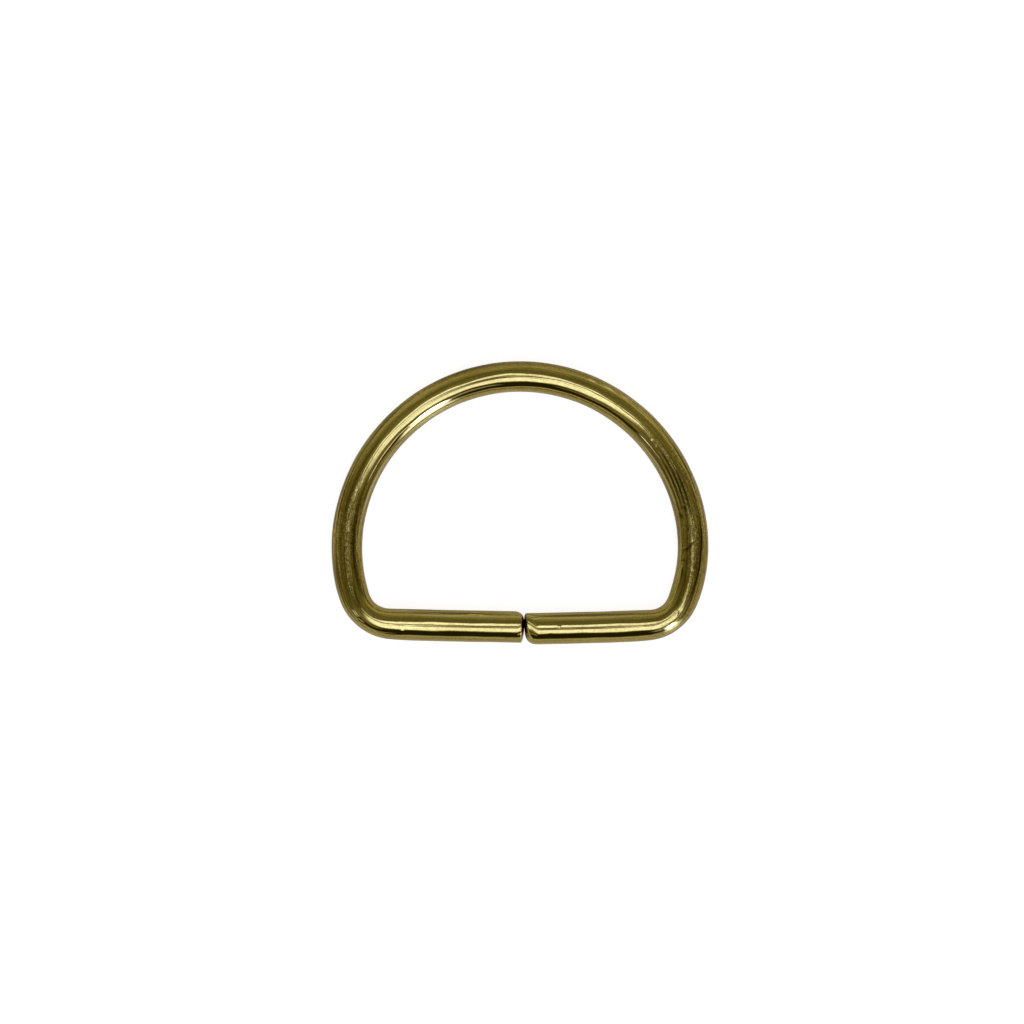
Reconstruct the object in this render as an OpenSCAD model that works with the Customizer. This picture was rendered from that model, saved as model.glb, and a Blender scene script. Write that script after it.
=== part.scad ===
// A D ring for a strap, bent flat from one length of round brass wire.
// The wire's two ends meet at a seam in the straight bar. Lengths are in millimetres.

/* [Wire] */
// Diameter of the wire
wire_d = 3.75; // [2.8:0.05:4.6]
// How much thinner each bend leaves the wire
bend_thinning = 0.03; // [0.02:0.01:0.06]

/* [Opening] */
// Inside width of the D, from side to side
inside_w = 38.1; // [34:0.1:46]
// Inside height of the D, from the bar's left end to the top of the crown
inside_h = 26.6; // [24:0.1:31]
// Inside radius of the shoulders, which close in a little tighter than the crown
shoulder_r = 17.35; // [15:0.05:19]
// Turn of the crown to each side of its top before the shoulder starts, in degrees
crown_turn = 75; // [60:1:85]

/* [Corners] */
// Inside radius of the left corner
left_corner_r = 2.5; // [1.5:0.05:4]
// Inside radius of the right corner
right_corner_r = 2.95; // [1.5:0.05:4]
// Fall of the bar's left half towards the seam, in degrees
left_fall = 1.45; // [0:0.05:4]
// Fall of the bar's right half towards the seam, in degrees
right_fall = 2.2; // [0:0.05:4]

/* [Seam] */
// How far the seam lies to the right of the middle
seam_x = 0.5; // [-3:0.1:3]
// How much lower the right end lies than the left end
seam_step = 0.3; // [0:0.05:0.6]
// Gap between the two ends where they come closest
seam_gap = 0.05; // [0.04:0.01:0.4]
// Radius of the dome that shearing and tumbling leave on each cut end
end_dome_r = 3; // [2.9:0.1:6]
// How far off the wire's axis each dome's middle lies, on opposite sides at the two ends
end_shear = 0.35; // [0:0.05:0.5]

/* [Hidden] */
$fn = 64;

// The wire is thinned once by the shoulder's bend and again by the corner's
shoulder_d = wire_d - bend_thinning;
corner_d = shoulder_d - bend_thinning;

// How far a thinned bend runs on inside the thicker wire that it meets
lap = 0.05;

// Radii of the wire's centre line
shoulder_c = shoulder_r + shoulder_d / 2;
half_w = inside_w / 2 + shoulder_d / 2;
crown_c = (half_w - shoulder_c * (1 - sin(crown_turn))) / sin(crown_turn);

// Each side's row holds its direction along X, its corner's centre line radius, its fall, and its
// end's place: how far the seam lies towards that side, and its depth below the crown's centre
left_depth = inside_h + wire_d - crown_c;
LEFT = [-1, left_corner_r + corner_d / 2, left_fall, -seam_x, left_depth];
RIGHT = [1, right_corner_r + corner_d / 2, right_fall, seam_x, left_depth + seam_step];
function direction(row) = row[0];
function corner_c(row) = row[1];
function fall(row) = row[2];
function reach(row) = row[3];
function depth(row) = row[4];

// Turn from the top of the crown to the start of the corner. The corner's circle touches both the
// shoulder's circle and the line of the bar, which fixes the angle between them
function turn_to_corner(row) = acos(
    (corner_c(row) - (crown_c - shoulder_c) * cos(crown_turn + fall(row))
        - reach(row) * sin(fall(row)) - depth(row) * cos(fall(row)))
    / (shoulder_c - corner_c(row))
) - fall(row);
function shoulder_turn(row) = turn_to_corner(row) - crown_turn;
function corner_turn(row) = 180 - fall(row) - turn_to_corner(row);

// Length of one half of the bar, from the corner's end to its own side of the seam
function bar_length(row) = (
    (crown_c - shoulder_c) * sin(crown_turn)
    + (shoulder_c - corner_c(row)) * sin(turn_to_corner(row))
    + corner_c(row) * sin(fall(row)) - reach(row)
) / cos(fall(row)) - seam_gap / 2;

// How far behind its dome's top the bar's lower edge ends, and how deep that edge's end lies
function edge_back(row) = end_dome_r
    - sqrt(pow(end_dome_r, 2) - pow(wire_d / 2 + direction(row) * end_shear, 2));
function edge_depth(row) = depth(row) - (edge_back(row) + seam_gap / 2) * sin(fall(row))
    + wire_d / 2 * cos(fall(row));

// The origin lies under the middle of the ring's box, on the surface that it lies on
crown_centre_y = (max(edge_depth(LEFT), edge_depth(RIGHT)) - crown_c - wire_d / 2) / 2;

// Places its children where a bend ends that starts at the origin, heading along the side's X
module after_bend(side, centre_r, turn) {
    translate([0, -centre_r, 0])
        rotate([0, 0, -side * turn])
            translate([0, centre_r, 0])
                children();
}

// A bend of thinned wire from the origin, which laps into its neighbours at both ends
module bend(side, centre_r, turn, d) {
    lap_turn = lap / centre_r * 180 / PI;
    translate([0, -centre_r, 0])
        rotate_extrude(angle = -side * (turn + 2 * lap_turn), start = 90 + side * lap_turn)
            translate([centre_r, 0])
                circle(d = d);
}

// The crown's arc, centred on the origin
module crown() {
    rotate_extrude(angle = 2 * crown_turn, start = 90 - crown_turn)
        translate([crown_c, 0])
            circle(d = wire_d);
}

// One half of the bar from the origin, with the dome on its cut end
module half_bar(side, length) {
    rotate([0, side * 90, 0])
        difference() {
            cylinder(d = wire_d, h = length);
            difference() {
                translate([-wire_d, -wire_d, length - end_dome_r])
                    cube([2 * wire_d, 2 * wire_d, 2 * end_dome_r]);
                translate([0, -side * end_shear, length - end_dome_r])
                    sphere(r = end_dome_r);
            }
        }
}

// One side of the ring, from the crown's end through shoulder and corner to the seam
module ring_side(row) {
    side = direction(row);
    translate([0, crown_c, 0])
        after_bend(side, crown_c, crown_turn) {
            bend(side, shoulder_c, shoulder_turn(row), shoulder_d);
            after_bend(side, shoulder_c, shoulder_turn(row)) {
                bend(side, corner_c(row), corner_turn(row), corner_d);
                after_bend(side, corner_c(row), corner_turn(row))
                    half_bar(side, bar_length(row));
            }
        }
}

// The whole wire, lying flat with its underside on the surface
module ring_wire() {
    color([0.56, 0.47, 0.2])
        translate([0, crown_centre_y, wire_d / 2]) {
            crown();
            ring_side(LEFT);
            ring_side(RIGHT);
        }
}

ring_wire();
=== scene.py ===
"""A brass D ring for a strap, lying flat on a pale table under soft lights.

Lengths are in metres, in the CAD model's frame, with the table at Z = 0. Angles are set in
degrees, and are in radians inside the wire's functions.
"""

import bpy
import numpy as np
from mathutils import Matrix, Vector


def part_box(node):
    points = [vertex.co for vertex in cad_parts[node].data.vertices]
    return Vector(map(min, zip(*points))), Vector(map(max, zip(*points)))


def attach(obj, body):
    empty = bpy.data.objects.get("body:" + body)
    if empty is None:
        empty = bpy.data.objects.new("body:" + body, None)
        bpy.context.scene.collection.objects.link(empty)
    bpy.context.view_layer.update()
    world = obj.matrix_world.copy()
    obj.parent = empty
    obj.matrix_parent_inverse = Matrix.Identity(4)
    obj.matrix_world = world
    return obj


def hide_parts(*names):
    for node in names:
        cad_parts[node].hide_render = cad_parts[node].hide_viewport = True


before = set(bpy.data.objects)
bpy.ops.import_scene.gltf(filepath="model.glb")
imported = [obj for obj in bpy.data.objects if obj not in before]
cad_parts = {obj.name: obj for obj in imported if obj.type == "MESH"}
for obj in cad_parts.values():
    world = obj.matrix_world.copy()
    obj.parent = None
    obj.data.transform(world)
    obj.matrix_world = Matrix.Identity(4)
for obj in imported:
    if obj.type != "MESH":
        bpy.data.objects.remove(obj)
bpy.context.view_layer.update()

# The ring is one length of drawn brass wire, bent flat into a D round a former. Its bends run
# softly into each other, each half of the bar still bows a little from the bending, and the two
# ends butt at a seam without a weld.
mm = 0.001
crown_radius = 20.99 * mm
seam_x = 0.5 * mm
seam_gap = 0.05 * mm
bend_softness = 0.5 * mm
softness_reach = 4 * bend_softness
bow_length = 6 * mm
path_step = 0.02 * mm

# One row for each half of the ring: its direction along X, the heading at the end of the crown,
# the shoulder's radius and the heading at its end, the corner's radius and the heading at its
# end, and the heading that the bowed bar reaches at the seam. Radii are the centre line's, and a
# heading is how far the wire has turned since the top of the crown.
HALF_COLUMNS = ("direction", "crown_end", "shoulder_radius", "shoulder_end",
                "corner_radius", "corner_end", "bar_end")
LEFT_HALF = dict(zip(HALF_COLUMNS, (-1, 79.6, 19.64 * mm, 107.4, 4.71 * mm, 177.75, 179.2)))
RIGHT_HALF = dict(zip(HALF_COLUMNS, (1, 79.6, 18.15 * mm, 112.0, 4.44 * mm, 176.5, 179.2)))

# Half the wire's width in the plane of the ring. The corners' bends narrow it over narrow_length,
# and past them it swells to the bar's over swell_length.
crown_half_width = 1.858 * mm
corner_half_width = 1.743 * mm
bar_half_width = 1.911 * mm
narrow_length = 2.85 * mm
swell_length = 0.8 * mm

# One row for each cut end: the side that the shears rolled over, with 1 for outwards and -1 for
# inwards, how far back the roll-over reaches and how boxy it is, and the same for the other side.
# The top and the underside have top_length and top_power, and cut_power is how boxy the rounding
# is along the wire.
END_COLUMNS = ("rolled_side", "rolled_length", "rolled_power", "sharp_length", "sharp_power")
LEFT_CUT = dict(zip(END_COLUMNS, (-1, 1.15 * mm, 3.0, 0.42 * mm, 2.2)))
RIGHT_CUT = dict(zip(END_COLUMNS, (1, 1.7 * mm, 6.0, 0.45 * mm, 2.6)))
top_length, top_power = 0.22 * mm, 2.4
cut_power = 2.2

# The shears also leave both faces leaning back at the same slant, so the seam widens towards the
# top, and drag the wire's highest line inwards over its last stretch. The slant and the rounding
# die away along the wire over cut_blend.
face_slant = 0.07
left_drag, left_drag_length = 0.12, 0.8 * mm
right_drag, right_drag_length = 0.42, 1.7 * mm
cut_blend = 4 * mm

# The mesh is made of rings of points, along the wire and on each cut face
rings_along = 720
rings_on_cut = 24
points_around = 128
crowding_on_top = 0.4

# Drawing and bending leave the wire a few thousandths of a millimetre out of true, in long waves
wave_count = 12
wave_height = 0.0022 * mm
wave_lengths = (3 * mm, 14 * mm)
most_lobes = 5
wave_seed = 7

# One row for each dent, groove, scratch or stained line, and for each line of painted light or shade:
# where it lies, as the length from the top of the crown and the angle around the wire from its
# top outwards, its half length and half width, its depth, which is below 0 where metal is pushed
# up, how far it leans outwards from the wire's direction, and how dark tarnish and painted shade
# make it, which is below 0 where fresh metal and painted glints and reflections make it pale. Its
# lengths, width and depth are in millimetres.
MARK_COLUMNS = ("length", "angle", "half_length", "half_width", "depth", "lean", "tarnish_and_painted_light")
MARKS = [dict(zip(MARK_COLUMNS, row)) for row in (
    (-58.5, 1.2, 5.5, 0.14, 0.002, 0, 0.8),
    (-51.0, 1.8, 4.5, 0.14, 0.002, 0, 0.7),
    # The long dark line at -54 degrees along the left bar is painted shade: the table's shadow beside
    # the wire, as the metal mirrors it.
    (-53.0, -54, 8.0, 0.22, 0.004, 0, 0.8),
    (-54.0, 55, 7.0, 0.10, 0.003, 0, 0.25),
    # The long pale line at -38 degrees along the left bar is a painted reflection of the bright room
    # near the horizon.
    (-53.0, -38, 8.5, 0.24, 0.001, 0, -0.6),
    (-46.0, 23, 0.13, 0.13, -0.032, 0, 0),
    (-44.6, 38, 1.5, 0.10, 0.014, 2, 0.7),
    (-41.3, 35, 0.36, 0.14, 0.042, 12, -0.5),
    (-38.9, -2, 2.0, 0.45, 0.001, 0, 0.8),
    (-31.0, 1, 8.5, 0.50, 0.001, 0, 0.36),
    (-40.0, 28, 1.4, 0.10, 0.014, -2, 0.7),
    (-37.6, 49, 4.6, 0.13, 0.010, 1, 0.9),
    (-36.5, 40, 3.6, 0.12, 0.008, 1, 0.8),
    (-31.5, -27, 5.5, 0.14, 0.010, 0, 0.68),
    (-28.5, -15, 3.5, 0.14, 0.001, 0, 0.5),
    (-39.5, -46, 3.6, 0.13, 0.003, -2, 0.7),
    (-37.0, -36, 4.0, 0.12, 0.004, 1, 0.6),
    (-30.6, -5, 0.22, 0.12, 0.010, 30, -0.5),
    (-29.9, 2, 0.18, 0.10, 0.008, -20, -0.4),
    (-27.5, 48, 5.0, 0.14, 0.008, 0.5, 1),
    (-24.5, -40.5, 5.5, 0.12, 0.008, 0, 1),
    (-24.0, -53, 7.0, 0.24, 0.001, 0, -0.7),
    (-18.0, 50, 5.5, 0.14, 0.006, 0.5, 0.9),
    (-6.0, 62, 6.0, 0.20, 0.003, 0, 0.7),
    (-11.0, 41, 9.0, 0.12, 0.001, 0, -0.3),
    (-5.2, 34, 0.9, 0.30, 0.002, 0, 0.35),
    (-4.0, -1.6, 6.5, 0.14, 0.002, 0.5, 0.9),
    # The pale scratches at 8.4, 10.6 and 12.6 mm on the crown are painted glints.
    (8.4, 43, 0.50, 0.12, 0.006, 0, -0.9),
    (9.2, 44, 0.10, 0.16, 0.034, 20, 0.6),
    (10.6, 44, 0.70, 0.12, 0.006, 0, -1),
    (12.6, 46, 0.60, 0.12, 0.006, 0, -0.8),
    (17.0, 57, 4.5, 0.14, 0.004, 0, 0.6),
    (11.0, 39, 9.0, 0.10, 0.001, 0, -0.4),
    (18.5, -8, 0.20, 0.14, 0.016, 30, -0.5),
    (19.4, -9, 0.16, 0.12, 0.014, -30, -0.3),
    (22.5, -40.5, 7.0, 0.12, 0.006, 0, 1),
    (22.5, -51, 7.0, 0.20, 0.001, 0, -0.7),
    (24.0, -24, 4.4, 0.12, 0.006, -1.8, 1),
    (23.5, -10, 4.4, 0.13, 0.006, -1.8, 1),
    (25.2, 3, 2.4, 0.13, 0.004, -1.5, 0.9),
    (24.6, -32.5, 3.8, 0.09, 0.001, -1, -0.8),
    (25.0, -17, 3.4, 0.09, 0.001, -1.8, -0.8),
    (22.5, 48.5, 4.8, 0.14, 0.004, 0, 1),
    (27.5, 2, 9.0, 0.50, 0.001, 0, 0.52),
    (31.5, 33, 3.5, 0.10, 0.008, -3, 0.8),
    (34.5, 28, 4.5, 0.11, 0.006, -2, 0.8),
    (27.6, -17, 0.30, 0.13, 0.024, 40, 0.9),
    (28.6, -36, 0.45, 0.16, 0.034, 25, 1),
    (32.2, -8, 0.46, 0.11, 0.018, -60, 1),
    (31.9, -9, 0.46, 0.09, -0.004, -60, -0.9),
    (32.6, -18, 0.34, 0.10, 0.018, -65, 1),
    (32.9, -28, 0.42, 0.11, 0.018, -75, 1),
    (32.6, -30, 0.42, 0.09, -0.004, -75, -0.9),
    (34.3, -37, 0.12, 0.55, 0.018, 0, 1),
    (35.3, 54, 0.14, 0.18, 0.030, 0, 1),
    (35.7, -35, 0.60, 0.15, 0.018, 0, 1),
    (37.2, -36, 1.6, 0.26, 0.002, 0, 0.6),
    (37.0, 40.5, 3.2, 0.11, 0.006, 0, 0.9),
    (36.4, 14, 1.2, 0.12, 0.004, 10, -0.3),
    # This raised burr is pale as fresh metal and as a painted glint.
    (40.9, 7, 0.24, 0.17, -0.034, 20, -0.5),
    (44.0, 1, 3.0, 0.09, 0.001, 0, 0.3),
    (50.5, 1, 5.5, 0.14, 0.002, 0, 0.7),
    (58.5, 1.5, 5.0, 0.14, 0.002, 0, 0.8),
    # The long dark line at -54 degrees along the right bar is painted shade: the table's shadow beside
    # the wire, as the metal mirrors it.
    (52.0, -54, 9.0, 0.22, 0.004, 0, 0.8),
    # The long pale line at -38 degrees along the right bar is a painted reflection of the bright room
    # near the horizon.
    (53.0, -38, 8.5, 0.24, 0.001, 0, -0.6),
    (55.4, -7, 0.12, 0.13, -0.026, 0, -0.5),
    (56.5, 15, 0.10, 0.15, -0.024, 0, -0.4),
)]

low_corner, high_corner = (np.array(corner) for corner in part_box("ring_wire"))
half_height = (high_corner[2] - low_corner[2]) / 2
crown_centre_y = high_corner[1] - crown_half_width - crown_radius

# Columns of the wire's path: the length from the top of the crown, the centre line's X and Y, its
# heading, and how far behind the corner's middle lies
LENGTH, X, Y, HEADING, PAST_CORNER = range(5)


def half_path(half):
    """Centre line of one half of the ring, from the top of the crown to the seam.

    The curvature is one over each bend's radius, with a tail on the bar that dies away over
    bow_length, and all of it is softened by a Gaussian that ends at softness_reach. The heading
    is the running sum of the curvature, and X and Y are the running sums of the heading's cosine
    and sine.
    """
    turns = np.radians(np.diff([0, half["crown_end"], half["shoulder_end"], half["corner_end"]]))
    radii = np.array([crown_radius, half["shoulder_radius"], half["corner_radius"]])
    ends = np.cumsum(turns * radii)
    length = np.arange(0, ends[2] + crown_radius, path_step)
    on_bar = np.clip(length - ends[2], 0, None)
    bow = np.radians(half["bar_end"] - half["corner_end"]) / bow_length
    curvature = np.append(1 / radii, 0)[np.searchsorted(ends, length)]
    curvature += np.where(on_bar > 0, bow * np.exp(-on_bar / bow_length), 0)
    reach = int(softness_reach / path_step)
    kernel = np.exp(-0.5 * (np.arange(-reach, reach + 1) * path_step / bend_softness) ** 2)
    curvature = np.convolve(np.pad(curvature, reach, mode="edge"), kernel / kernel.sum(), "valid")
    heading = np.cumsum(curvature) * path_step
    x = np.cumsum(np.cos(heading)) * path_step
    y = crown_centre_y + crown_radius - np.cumsum(np.sin(heading)) * path_step
    path = np.stack([length, x, y, heading, length - ends[1:].mean()], axis=1)
    seam = half["direction"] * seam_x + seam_gap / 2
    return path[(on_bar == 0) | (x > seam)]


# The left half is turned over, so it runs from the seam to the crown with lengths below 0
left_path = half_path(LEFT_HALF)[:0:-1]
left_path[:, [LENGTH, X, HEADING]] *= -1
wire_path = np.concatenate([left_path, half_path(RIGHT_HALF)])
left_end, right_end = wire_path[[0, -1], LENGTH]


def along_wire(length, column):
    """A column of the wire's path at any length, by straight lines between its steps."""
    return np.interp(length, wire_path[:, LENGTH], wire_path[:, column])


def half_width(length):
    """Half the wire's width at each length.

    The crown's width turns into the bar's by a logistic step at the corner, less a Gaussian dip
    there that brings it down to the corner's own.
    """
    past_corner = along_wire(length, PAST_CORNER)
    share = 1 / (1 + np.exp(-past_corner / swell_length))
    mean = (crown_half_width + bar_half_width) / 2
    dip = (mean - corner_half_width) * np.exp(-(past_corner / narrow_length) ** 2)
    return crown_half_width * (1 - share) + bar_half_width * share - dip


# One row for each area that handling has worn: its place, its half length, half angle and amount,
# with lengths in millimetres. The cut ends are dull too, over dull_length.
WORN_COLUMNS = ("length", "angle", "half_length", "half_angle", "amount")
WORN_AREAS = [dict(zip(WORN_COLUMNS, row)) for row in (
    (-32, 0, 7.5, 150, 0.75),
    (-29.5, 0, 3, 32, 0.35),
    (-12, 64, 15, 20, 0.70),
    (11, 64, 13, 18, 0.60),
    (28, 0, 9, 150, 0.70),
    (34.5, 8, 4.5, 34, 0.45),
    (42.2, 38, 2.6, 50, 0.35),
)]
least_worn = 0.14
dull_on_cut, dull_length = 0.8, 0.22 * mm


def worn(length, around):
    """The wear at each length and angle, from 0 to 1.

    It is the least wear anywhere, plus a Gaussian at each cut end and one for each worn area.
    """
    from_end = np.minimum(length - left_end, right_end - length) + np.zeros_like(around)
    amount = least_worn + dull_on_cut * np.exp(-(from_end / dull_length) ** 2)
    for area in WORN_AREAS:
        ahead = (length / mm - area["length"]) / area["half_length"]
        turned = np.mod(np.degrees(around) - area["angle"] + 180, 360) - 180
        amount += area["amount"] * np.exp(-ahead ** 2 - (turned / area["half_angle"]) ** 2)
    return np.clip(amount, 0, 1)


def away_from(mark, length, around):
    """The squared distance from a mark's middle, in its own half lengths and half widths."""
    ahead = length - mark["length"] * mm
    outwards = (np.mod(around - np.radians(mark["angle"]) + np.pi, 2 * np.pi) - np.pi) * half_height
    lean = np.radians(mark["lean"])
    along = (ahead * np.cos(lean) + outwards * np.sin(lean)) / (mark["half_length"] * mm)
    across = (outwards * np.cos(lean) - ahead * np.sin(lean)) / (mark["half_width"] * mm)
    return along ** 2 + across ** 2


def relief(length, around):
    """How far the surface stands above the true ellipse, at each length and angle.

    The waves are cosines of a whole number of lobes around the wire, which turn as they run along
    it. A mark is its depth times the Gaussian of its distance, with a raised lip around it. Nothing
    stands above the ellipse on the underside, so the ring lies level.
    """
    random = np.random.default_rng(wave_seed)
    lobes = random.integers(0, most_lobes + 1, wave_count)
    turns = random.choice([-1, 1], wave_count) * 2 * np.pi / random.uniform(*wave_lengths, wave_count)
    starts = random.uniform(0, 2 * np.pi, wave_count)
    waves = np.cos(lobes * around[..., None] + turns * length[..., None] + starts)
    raised = wave_height * waves.sum(axis=-1)
    for mark in MARKS:
        away = away_from(mark, length, around)
        raised -= mark["depth"] * mm * (1 - away / 2) * np.exp(-away)
    return np.where(np.cos(around) < 0, np.minimum(raised, 0), raised)


def mark_tarnish_and_painted_light(length, around):
    """Tarnish and painted shade in the marks, below 0 for fresh metal and painted glints, by each
    one's own Gaussian.
    """
    tarnish_and_painted_light = np.zeros_like(length + around)
    for mark in MARKS:
        tarnish_and_painted_light += mark["tarnish_and_painted_light"] * np.exp(-away_from(mark, length, around))
    return np.clip(tarnish_and_painted_light, -1, 1)


def smooth(share):
    """A step from 0 to 1 with level ends: three squares less two cubes."""
    share = np.clip(share, 0, 1)
    return share * share * (3 - 2 * share)


def wire_surface(length, around, share):
    """Points at a length along the wire, an angle around it and a share of its radius.

    The angle is 0 on top and grows outwards. Each point is the centre line's place, plus the
    sine of the angle along the outward normal and its cosine upwards, over an ellipse whose
    width and height keep the wire's area, with the wire's own relief on its radius. Near a cut
    end the points shift inwards by its drag, most in the middle of the section, and along X away
    from the seam by their height above the centre line times the slant.
    """
    heading = along_wire(length, HEADING)
    width = half_width(length)
    height = np.minimum(half_height, half_height ** 2 / width)
    raised = relief(length, around)
    across = share * np.sin(around)
    near_left = smooth(1 - (length - left_end) / left_drag_length)
    near_right = smooth(1 - (right_end - length) / right_drag_length)
    across = across - (left_drag * near_left + right_drag * near_right) * (1 - across ** 2)
    outwards = (width + raised) * across
    upwards = share * (height + raised) * np.cos(around)
    ahead = face_slant * upwards * (smooth((length - right_end) / cut_blend + 1)
                                    - smooth((left_end - length) / cut_blend + 1))
    x = along_wire(length, X) + outwards * np.sin(heading) + ahead
    y = along_wire(length, Y) + outwards * np.cos(heading)
    return np.stack([x, y, half_height + upwards], axis=-1)


def cut_shape(cut, around):
    """How far back a cut end's rounding reaches and its power, at each angle around the wire.

    Both go from the top's values to each side's with the square of the angle's sine.
    """
    rolled = np.clip(cut["rolled_side"] * np.sin(around), 0, 1) ** 2
    sharp = np.clip(-cut["rolled_side"] * np.sin(around), 0, 1) ** 2
    length = top_length + (cut["rolled_length"] - top_length) * rolled
    length = length + (cut["sharp_length"] - top_length) * sharp
    power = top_power + (cut["rolled_power"] - top_power) * rolled
    power = power + (cut["sharp_power"] - top_power) * sharp
    return length, power


# The points around the wire crowd towards its top, where the marks are
around = np.linspace(0, 2 * np.pi, points_around, endpoint=False)
around = around - crowding_on_top * np.sin(around)
station = np.linspace(left_end, right_end, rings_along)[:, None]
left_length, left_power = cut_shape(LEFT_CUT, around)
right_length, right_power = cut_shape(RIGHT_CUT, around)
tube_length = station + left_length * smooth((left_end + cut_blend - station) / cut_blend)
tube_length = tube_length - right_length * smooth((station - right_end + cut_blend) / cut_blend)
tube_share = np.ones_like(tube_length)

# Each cut end is a superellipse between the wire's side and the middle of its face
turn = np.linspace(90, 0, rings_on_cut + 1)[1:-1, None]
across, back = np.sin(np.radians(turn)), 1 - np.cos(np.radians(turn)) ** (2 / cut_power)
left_cut_length = left_end + left_length * back
right_cut_length = right_end - right_length * back
ring_length = np.concatenate([left_cut_length[::-1], tube_length, right_cut_length])
left_cut_share = across ** (2 / left_power)
right_cut_share = across ** (2 / right_power)
ring_share = np.concatenate([left_cut_share[::-1], tube_share, right_cut_share])
ring_around = np.broadcast_to(around, ring_length.shape)
grid = wire_surface(ring_length, ring_around, ring_share)
poles = wire_surface(np.array([left_end, right_end]), np.zeros(2), np.zeros(2))

ring_count = len(grid)
first = np.arange(ring_count * points_around).reshape(ring_count, points_around)
following = np.roll(first, -1, axis=1)
quads = np.stack([first[:-1], first[1:], following[1:], following[:-1]], axis=-1).reshape(-1, 4)
left_pole, right_pole = first.size, first.size + 1
left_fan = np.stack([np.full(points_around, left_pole), first[0], following[0]], axis=-1)
right_fan = np.stack([np.full(points_around, right_pole), following[-1], first[-1]], axis=-1)

wire_mesh = bpy.data.meshes.new("bent_wire")
wire_points = np.concatenate([grid.reshape(-1, 3), poles])
wire_mesh.from_pydata(wire_points, [], quads.tolist() + left_fan.tolist() + right_fan.tolist())
wire_mesh.polygons.foreach_set("use_smooth", np.ones(len(wire_mesh.polygons), bool))
wire_mesh.update()
bent_wire = bpy.data.objects.new("bent_wire", wire_mesh)
bpy.context.scene.collection.objects.link(bent_wire)

# The finish follows the wire as if it were straight, so each point keeps its place along it and
# its two places in the section. The poles of the cut faces have neither marks nor wear.
straight_points = [ring_length, ring_share * half_height * np.sin(ring_around),
                   ring_share * half_height * np.cos(ring_around)]
straight_points = np.stack(straight_points, axis=-1).reshape(-1, 3)
straight_points = np.concatenate([straight_points, [[left_end, 0, 0], [right_end, 0, 0]]])
straight_wire = wire_mesh.attributes.new("straight_wire", "FLOAT_VECTOR", "POINT")
straight_wire.data.foreach_set("vector", straight_points.ravel())
for attribute_name, amounts in (("marks_tarnish_and_painted_light", mark_tarnish_and_painted_light), ("worn_areas", worn)):
    attribute = wire_mesh.attributes.new(attribute_name, "FLOAT", "POINT")
    attribute.data.foreach_set("value", np.append(amounts(ring_length, ring_around).ravel(), [0, 0]))


def new_node(tree, kind, settings, inputs):
    """A node with its settings, and its inputs set to values or fed by other nodes' outputs."""
    node = tree.nodes.new("ShaderNode" + kind)
    for name, value in settings.items():
        setattr(node, name, value)
    for name, value in inputs.items():
        if isinstance(value, bpy.types.NodeSocket):
            tree.links.new(value, node.inputs[name])
        else:
            node.inputs[name].default_value = value
    return node


def ramp(tree, value, start, end, before=0, after=1):
    """A smooth step between two levels, while the value goes from start to end."""
    ends = {"Value": value, "From Min": start, "From Max": end, "To Min": before, "To Max": after}
    return new_node(tree, "MapRange", {"interpolation_type": "SMOOTHSTEP"}, ends).outputs["Result"]


def calculate(tree, operation, first, second=0.0):
    """A Math node of one or two inputs."""
    node = new_node(tree, "Math", {"operation": operation}, {0: first, 1: second})
    return node.outputs["Value"]


def mix_colour(tree, share, first, second):
    """The first colour turning into the second one as the share rises."""
    inputs = {"Fac": share, "Color1": first, "Color2": second}
    return new_node(tree, "MixRGB", {}, inputs).outputs["Color"]


# The wire is plain drawn brass, polished where it is new. Age and handling have left tarnish in
# its draw lines, in patches, as a fine grain and in its marks, and scuffs where it is worn. Some
# marks carry painted shade, and the scuffs and some marks carry painted glints and reflections.
# These are its colours, from fresh metal and painted glints to old tarnish and painted shade.
fresh_brass_and_glint = (0.95, 0.85, 0.52, 1)
scuffed_brass_and_glint = (0.86, 0.68, 0.24, 1)
clean_brass = (0.71, 0.592, 0.192, 1)
patched_brass = (0.40, 0.32, 0.06, 1)
grained_brass = (0.25, 0.18, 0.03, 1)
lined_brass = (0.19, 0.135, 0.015, 1)
tarnished_brass = (0.17, 0.115, 0.008, 1)
blackened_and_shaded_brass = (0.09, 0.066, 0.006, 1)

brass = bpy.data.materials.new("drawn_brass")
brass.use_nodes = True
tree = brass.node_tree
principled = tree.nodes["Principled BSDF"]
principled.inputs["Metallic"].default_value = 1
on_wire = new_node(tree, "Attribute", {"attribute_name": "straight_wire"}, {}).outputs["Vector"]
wear = new_node(tree, "Attribute", {"attribute_name": "worn_areas"}, {}).outputs["Fac"]


def wire_noise(width, stretch, detail):
    """Noise whose spots are so wide, and so many times longer along the wire."""
    scale = (1 / (width * stretch), 1 / width, 1 / width)
    place = new_node(tree, "Mapping", {}, {"Vector": on_wire, "Scale": scale}).outputs["Vector"]
    inputs = {"Vector": place, "Scale": 1.0, "Detail": detail, "Roughness": 0.6}
    return new_node(tree, "TexNoise", {}, inputs).outputs["Fac"]


def by_wear(unworn, most_worn):
    """An amount that rises smoothly from where the brass is unworn to where it is worn most."""
    return ramp(tree, wear, start=0, end=1, before=unworn, after=most_worn)


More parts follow.
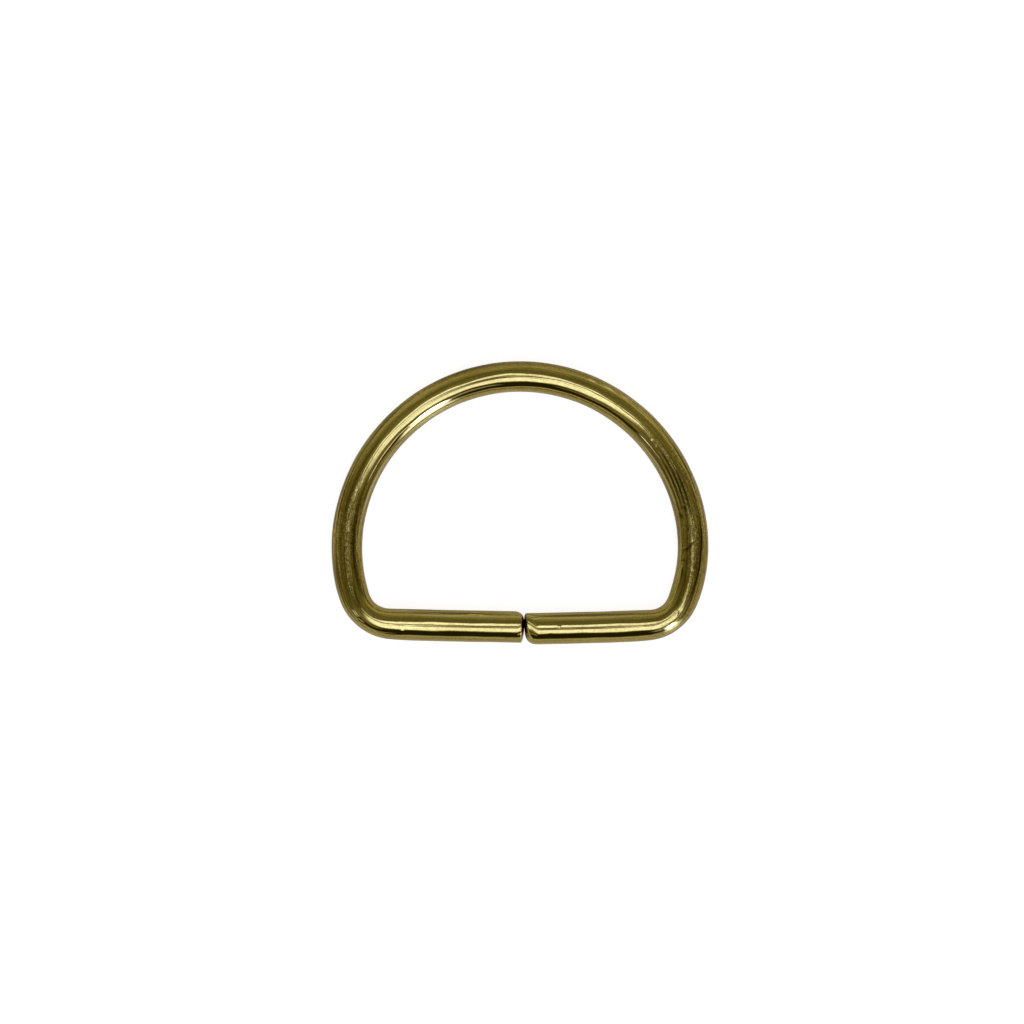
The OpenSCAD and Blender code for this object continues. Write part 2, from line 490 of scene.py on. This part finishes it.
# Draw lines run along the wire, dark where tarnish stays in them, with a few thin and darker ones
draw_lines = wire_noise(width=0.32 * mm, stretch=28, detail=2)
broad_streaks = wire_noise(width=0.9 * mm, stretch=12, detail=2)
streaks = calculate(tree, "ADD", draw_lines, broad_streaks)
tarnish = calculate(tree, "MULTIPLY", ramp(tree, streaks, start=0.90, end=1.10), wear)
colour = mix_colour(tree, tarnish, clean_brass, tarnished_brass)
thin_lines = ramp(tree, wire_noise(width=0.2 * mm, stretch=70, detail=1), start=0.60, end=0.68)
thin_lines = calculate(tree, "MULTIPLY", thin_lines, by_wear(unworn=0.3, most_worn=0.8))
colour = mix_colour(tree, thin_lines, colour, lined_brass)

# Broad patches and a fine grain dull it unevenly
patches = ramp(tree, wire_noise(width=1.8 * mm, stretch=2, detail=3), start=0.4, end=0.65)
patches = calculate(tree, "MULTIPLY", patches, by_wear(unworn=0.16, most_worn=0.4))
colour = mix_colour(tree, patches, colour, patched_brass)
grain_noise = wire_noise(width=0.22 * mm, stretch=1.5, detail=3)
grain = ramp(tree, grain_noise, start=0.38, end=0.66)
grain = calculate(tree, "MULTIPLY", grain, by_wear(unworn=0.27, most_worn=0.9))
colour = mix_colour(tree, grain, colour, grained_brass)

# Fine scuffs wander over the parts that have been handled most, as shallow grooves, and their paler
# brass is partly a painted glint
scuff_noise = wire_noise(width=0.42 * mm, stretch=1.2, detail=2)
middle_of_noise = 0.5
off_line = calculate(tree, "ABSOLUTE", calculate(tree, "SUBTRACT", scuff_noise, middle_of_noise))
scuffs_and_glints = ramp(tree, off_line, start=0.012, end=0.04, before=1, after=0)
most_worn_parts = ramp(tree, wear, start=0.65, end=0.95, after=0.6)
scuffs_and_glints = calculate(tree, "MULTIPLY", scuffs_and_glints, most_worn_parts)
colour = mix_colour(tree, scuffs_and_glints, colour, scuffed_brass_and_glint)

# Marks darken with old tarnish and painted shade, and lighten with fresh metal and painted glints and
# reflections
marks_tarnish_and_light = new_node(tree, "Attribute", {"attribute_name": "marks_tarnish_and_painted_light"}, {}).outputs["Fac"]
blackened_and_shaded = ramp(tree, marks_tarnish_and_light, start=0, end=1)
colour = mix_colour(tree, blackened_and_shaded, colour, blackened_and_shaded_brass)
fresh_and_glints = ramp(tree, marks_tarnish_and_light, start=0, end=-1)
colour = mix_colour(tree, fresh_and_glints, colour, fresh_brass_and_glint)
tree.links.new(colour, principled.inputs["Base Color"])

# Patches, and the fresh metal and painted glints of the marks, roughen the wire most, then wear, then
# grain
polished, dulled = 0.05, 0.16
dulled_by_wear, dulled_by_grain, most_dulling = 0.8, 0.3, 1.4
dulling = calculate(tree, "ADD", patches, fresh_and_glints)
dulling = calculate(tree, "ADD", dulling, calculate(tree, "MULTIPLY", wear, dulled_by_wear))
dulling = calculate(tree, "ADD", dulling, calculate(tree, "MULTIPLY", grain, dulled_by_grain))
roughness = ramp(tree, dulling, start=0, end=most_dulling, before=polished, after=dulled)
tree.links.new(roughness, principled.inputs["Roughness"])

# Where the ring is worn its surface is dented and scored along the wire. The grain and the scuffs
# add a fainter relief of their own.
scored = ramp(tree, wear, start=0.2, end=0.8)
line_height, fine_line_height, dent_height = 0.05 * mm, 0.016 * mm, 0.012 * mm
grain_height, scuff_depth = 0.0011 * mm, 0.0016 * mm
lines_up = calculate(tree, "MULTIPLY", draw_lines, line_height)
fine_lines = wire_noise(width=0.15 * mm, stretch=22, detail=1)
fine_lines_up = calculate(tree, "MULTIPLY", fine_lines, fine_line_height)
dents = wire_noise(width=0.38 * mm, stretch=1.6, detail=1)
dents_up = calculate(tree, "MULTIPLY", dents, dent_height)
scores_up = calculate(tree, "ADD", lines_up, calculate(tree, "ADD", fine_lines_up, dents_up))
grain_up = calculate(tree, "MULTIPLY", grain_noise, grain_height)
scuffs_up = calculate(tree, "MULTIPLY", scuffs_and_glints, -scuff_depth)
height = calculate(tree, "ADD", calculate(tree, "MULTIPLY", scores_up, scored),
                   calculate(tree, "ADD", grain_up, scuffs_up))
bump = new_node(tree, "Bump", {}, {"Height": height, "Distance": 1.0, "Strength": 1.0})
tree.links.new(bump.outputs["Normal"], principled.inputs["Normal"])
wire_mesh.materials.append(brass)

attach(bent_wire, "root")
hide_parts("ring_wire")

# The table is plain and pale. The camera sees it white, as a light table looks, with only a faint
# shadow under the wire, and the metal mirrors it as the paper that the lamps light.
table_half_width = 1.5
table_mesh = bpy.data.meshes.new("table")
table_corners = [(-1, -1), (1, -1), (1, 1), (-1, 1)]
table_points = [(x * table_half_width, y * table_half_width, 0) for x, y in table_corners]
table_mesh.from_pydata(table_points, [], [(0, 1, 2, 3)])
table = bpy.data.objects.new("table", table_mesh)
bpy.context.scene.collection.objects.link(table)

paper_grey, paper_backlight = (0.35, 0.35, 0.35, 1), 0.9
table_paper = bpy.data.materials.new("table_paper")
table_paper.use_nodes = True
tree = table_paper.node_tree
tree.nodes.remove(tree.nodes["Principled BSDF"])
shaded_paper = new_node(tree, "BsdfDiffuse", {}, {"Color": paper_grey}).outputs["BSDF"]
backlight = new_node(tree, "Emission", {}, {"Strength": paper_backlight}).outputs["Emission"]
seen_paper = new_node(tree, "AddShader", {}, {0: shaded_paper, 1: backlight}).outputs["Shader"]
smooth_paper = {"Base Color": (0.94, 0.87, 0.66, 1), "Roughness": 0.32,
                "Emission Color": (1, 0.9, 0.6, 1), "Emission Strength": 0.05}
mirrored_paper = new_node(tree, "BsdfPrincipled", {}, smooth_paper).outputs["BSDF"]
is_seen = new_node(tree, "LightPath", {}, {}).outputs["Is Camera Ray"]
either_paper = new_node(tree, "MixShader", {}, {0: is_seen, 1: mirrored_paper, 2: seen_paper})
tree.links.new(either_paper.outputs["Shader"], tree.nodes["Material Output"].inputs["Surface"])
table_mesh.materials.append(table_paper)

# The studio is a dim room with soft lamps, worked out from the direction that is looked in, so
# that every lamp has a soft edge. Tilt is counted from straight up, and bearing from the front
# towards +X.
world = bpy.data.worlds.new("studio")
bpy.context.scene.world = world
world.use_nodes = True
tree = world.node_tree
looked_in = new_node(tree, "TexCoord", {}, {}).outputs["Generated"]
parts = new_node(tree, "SeparateXYZ", {}, {"Vector": looked_in}).outputs
tilt = calculate(tree, "DEGREES", calculate(tree, "ARCCOSINE", parts["Z"]))
frontwards = calculate(tree, "MULTIPLY", parts["Y"], -1.0)
bearing = calculate(tree, "DEGREES", calculate(tree, "ARCTAN2", parts["X"], frontwards))
low_map = new_node(tree, "CombineXYZ", {}, {"X": bearing, "Y": tilt}).outputs["Vector"]
level_way = new_node(tree, "VectorMath", {"operation": "MULTIPLY"}, {0: looked_in, 1: (1, 1, 0)})
level_way = new_node(tree, "VectorMath", {"operation": "NORMALIZE"}, {0: level_way.outputs["Vector"]})
high_map = new_node(tree, "VectorMath", {"operation": "SCALE"},
                    {0: level_way.outputs["Vector"], "Scale": tilt}).outputs["Vector"]

# Low rows are placed by bearing and tilt. High rows, near straight up, are placed by the degrees
# towards +X and +Y. Each row is an oval: its place, width, depth, turn, how much of its radius is
# soft, and its radiance in red, green and blue. Later rows cover earlier ones.
OVAL_COLUMNS = ("chart", "across", "up", "width", "depth", "turn", "softness", "radiance")
OVALS = {
    "dim_back_wall": (high_map, 0, 38, 80, 26, 0, 0.8, (0.16, 0.147, 0.075)),
    "pale_back_wall": (high_map, 0, 77, 120, 12, 0, 0.8, (0.36, 0.33, 0.21)),
    "pale_left_corner": (low_map, -151, 76, 46, 26, 0, 0.8, (0.42, 0.385, 0.24)),
    "pale_right_corner": (low_map, 146, 81, 60, 22, 0, 0.8, (0.46, 0.42, 0.26)),
    "dim_left_wall": (low_map, -99, 36, 76, 26, 0, 0.7, (0.12, 0.106, 0.042)),
    "dark_right_wall": (low_map, 87, 56, 62, 30, 40, 0.8, (0.110, 0.095, 0.034)),
    "dark_doorway": (low_map, 5, 59.5, 118, 39, 0, 0.35, (0.022, 0.019, 0.005)),
    "doorway_sill": (low_map, -27, 51, 28, 7, 0, 0.7, (0.28, 0.26, 0.15)),
    "lamp_edge": (low_map, 20, 54, 22, 12, 0, 0.9, (0.42, 0.42, 0.50)),
    "pale_panel": (low_map, 51, 53.5, 32, 9, 0, 0.6, (1.0, 1.03, 1.4)),
    "lamp_glow": (low_map, 35, 83, 20, 38, 0, 0.9, (2.2, 2.4, 3.9)),
    "far_window": (low_map, -51, 57, 10, 8, 0, 0.6, (1.8, 2.0, 3.8)),
    "side_lamp": (low_map, 32.5, 60, 13, 22, 0, 0.75, (8, 9, 17)),
    "soft_box_gap": (high_map, 0, 0, 9, 12.5, 0, 0.55, (0.18, 0.165, 0.07)),
    "front_box_edge": (high_map, 4, -21, 41, 28, 14, 0.3, (0.9, 0.86, 0.75)),
    "front_soft_box": (high_map, 4, -21, 38, 24, 14, 0.35, (1.65, 1.76, 2.7)),
    "front_box_right_corner": (high_map, 7.6, -6.0, 15, 6, -37, 0.4, (1.5, 1.6, 2.45)),
    "front_box_left_corner": (high_map, -4.2, -7.4, 17, 5, 52, 0.4, (1.8, 1.92, 2.9)),
    "back_soft_box": (high_map, 0, 13.5, 10, 15, 14, 0.35, (1.6, 1.72, 2.6)),
    "back_box_left_corner": (high_map, -4.8, 7.9, 8.4, 12, 15, 0.4, (1.55, 1.66, 2.5)),
    "back_box_right_corner": (high_map, 3.6, 6.4, 4.8, 4.8, 0, 0.4, (1.55, 1.66, 2.5)),
}
room_radiance, horizon_radiance = (0.24, 0.221, 0.114, 1), (0.50, 0.47, 0.40, 1)
near_horizon = ramp(tree, tilt, start=76, end=86)
radiance = mix_colour(tree, near_horizon, room_radiance, horizon_radiance)
for oval in (dict(zip(OVAL_COLUMNS, row)) for row in OVALS.values()):
    place = {"Vector": oval["chart"], "Location": (oval["across"], oval["up"], 0),
             "Rotation": (0, 0, np.radians(oval["turn"])),
             "Scale": (oval["width"] / 2, oval["depth"] / 2, 1)}
    from_middle = new_node(tree, "Mapping", {"vector_type": "TEXTURE"}, place).outputs["Vector"]
    radius = new_node(tree, "VectorMath", {"operation": "LENGTH"}, {0: from_middle}).outputs["Value"]
    half_soft = oval["softness"] / 2
    inside = ramp(tree, radius, start=1 - half_soft, end=1 + half_soft, before=1, after=0)
    radiance = mix_colour(tree, inside, radiance, (*oval["radiance"], 1))

# Seen by the camera itself, the room is a plain pale backdrop
backdrop = (0.86, 0.86, 0.86, 1)
is_seen = new_node(tree, "LightPath", {}, {}).outputs["Is Camera Ray"]
tree.links.new(mix_colour(tree, is_seen, radiance, backdrop), tree.nodes["Background"].inputs["Color"])

# The camera looks straight down, as in the photograph. Each pixel of its frame covers a square that
# is pixel_width across, in the plane of the wire's centre line.
camera_height = 0.8
pixels_across, pixel_width = 1024, 0.121 * mm
frame_width = pixels_across * pixel_width
camera_x = -0.98 * mm
camera_y = -1.075 * mm
camera_data = bpy.data.cameras.new("camera")
camera_data.lens = camera_data.sensor_width * (camera_height - half_height) / frame_width
camera = bpy.data.objects.new("camera", camera_data)
camera.location = (camera_x, camera_y, camera_height)
bpy.context.scene.collection.objects.link(camera)
bpy.context.scene.camera = camera
bpy.context.scene.view_settings.view_transform = "Standard"
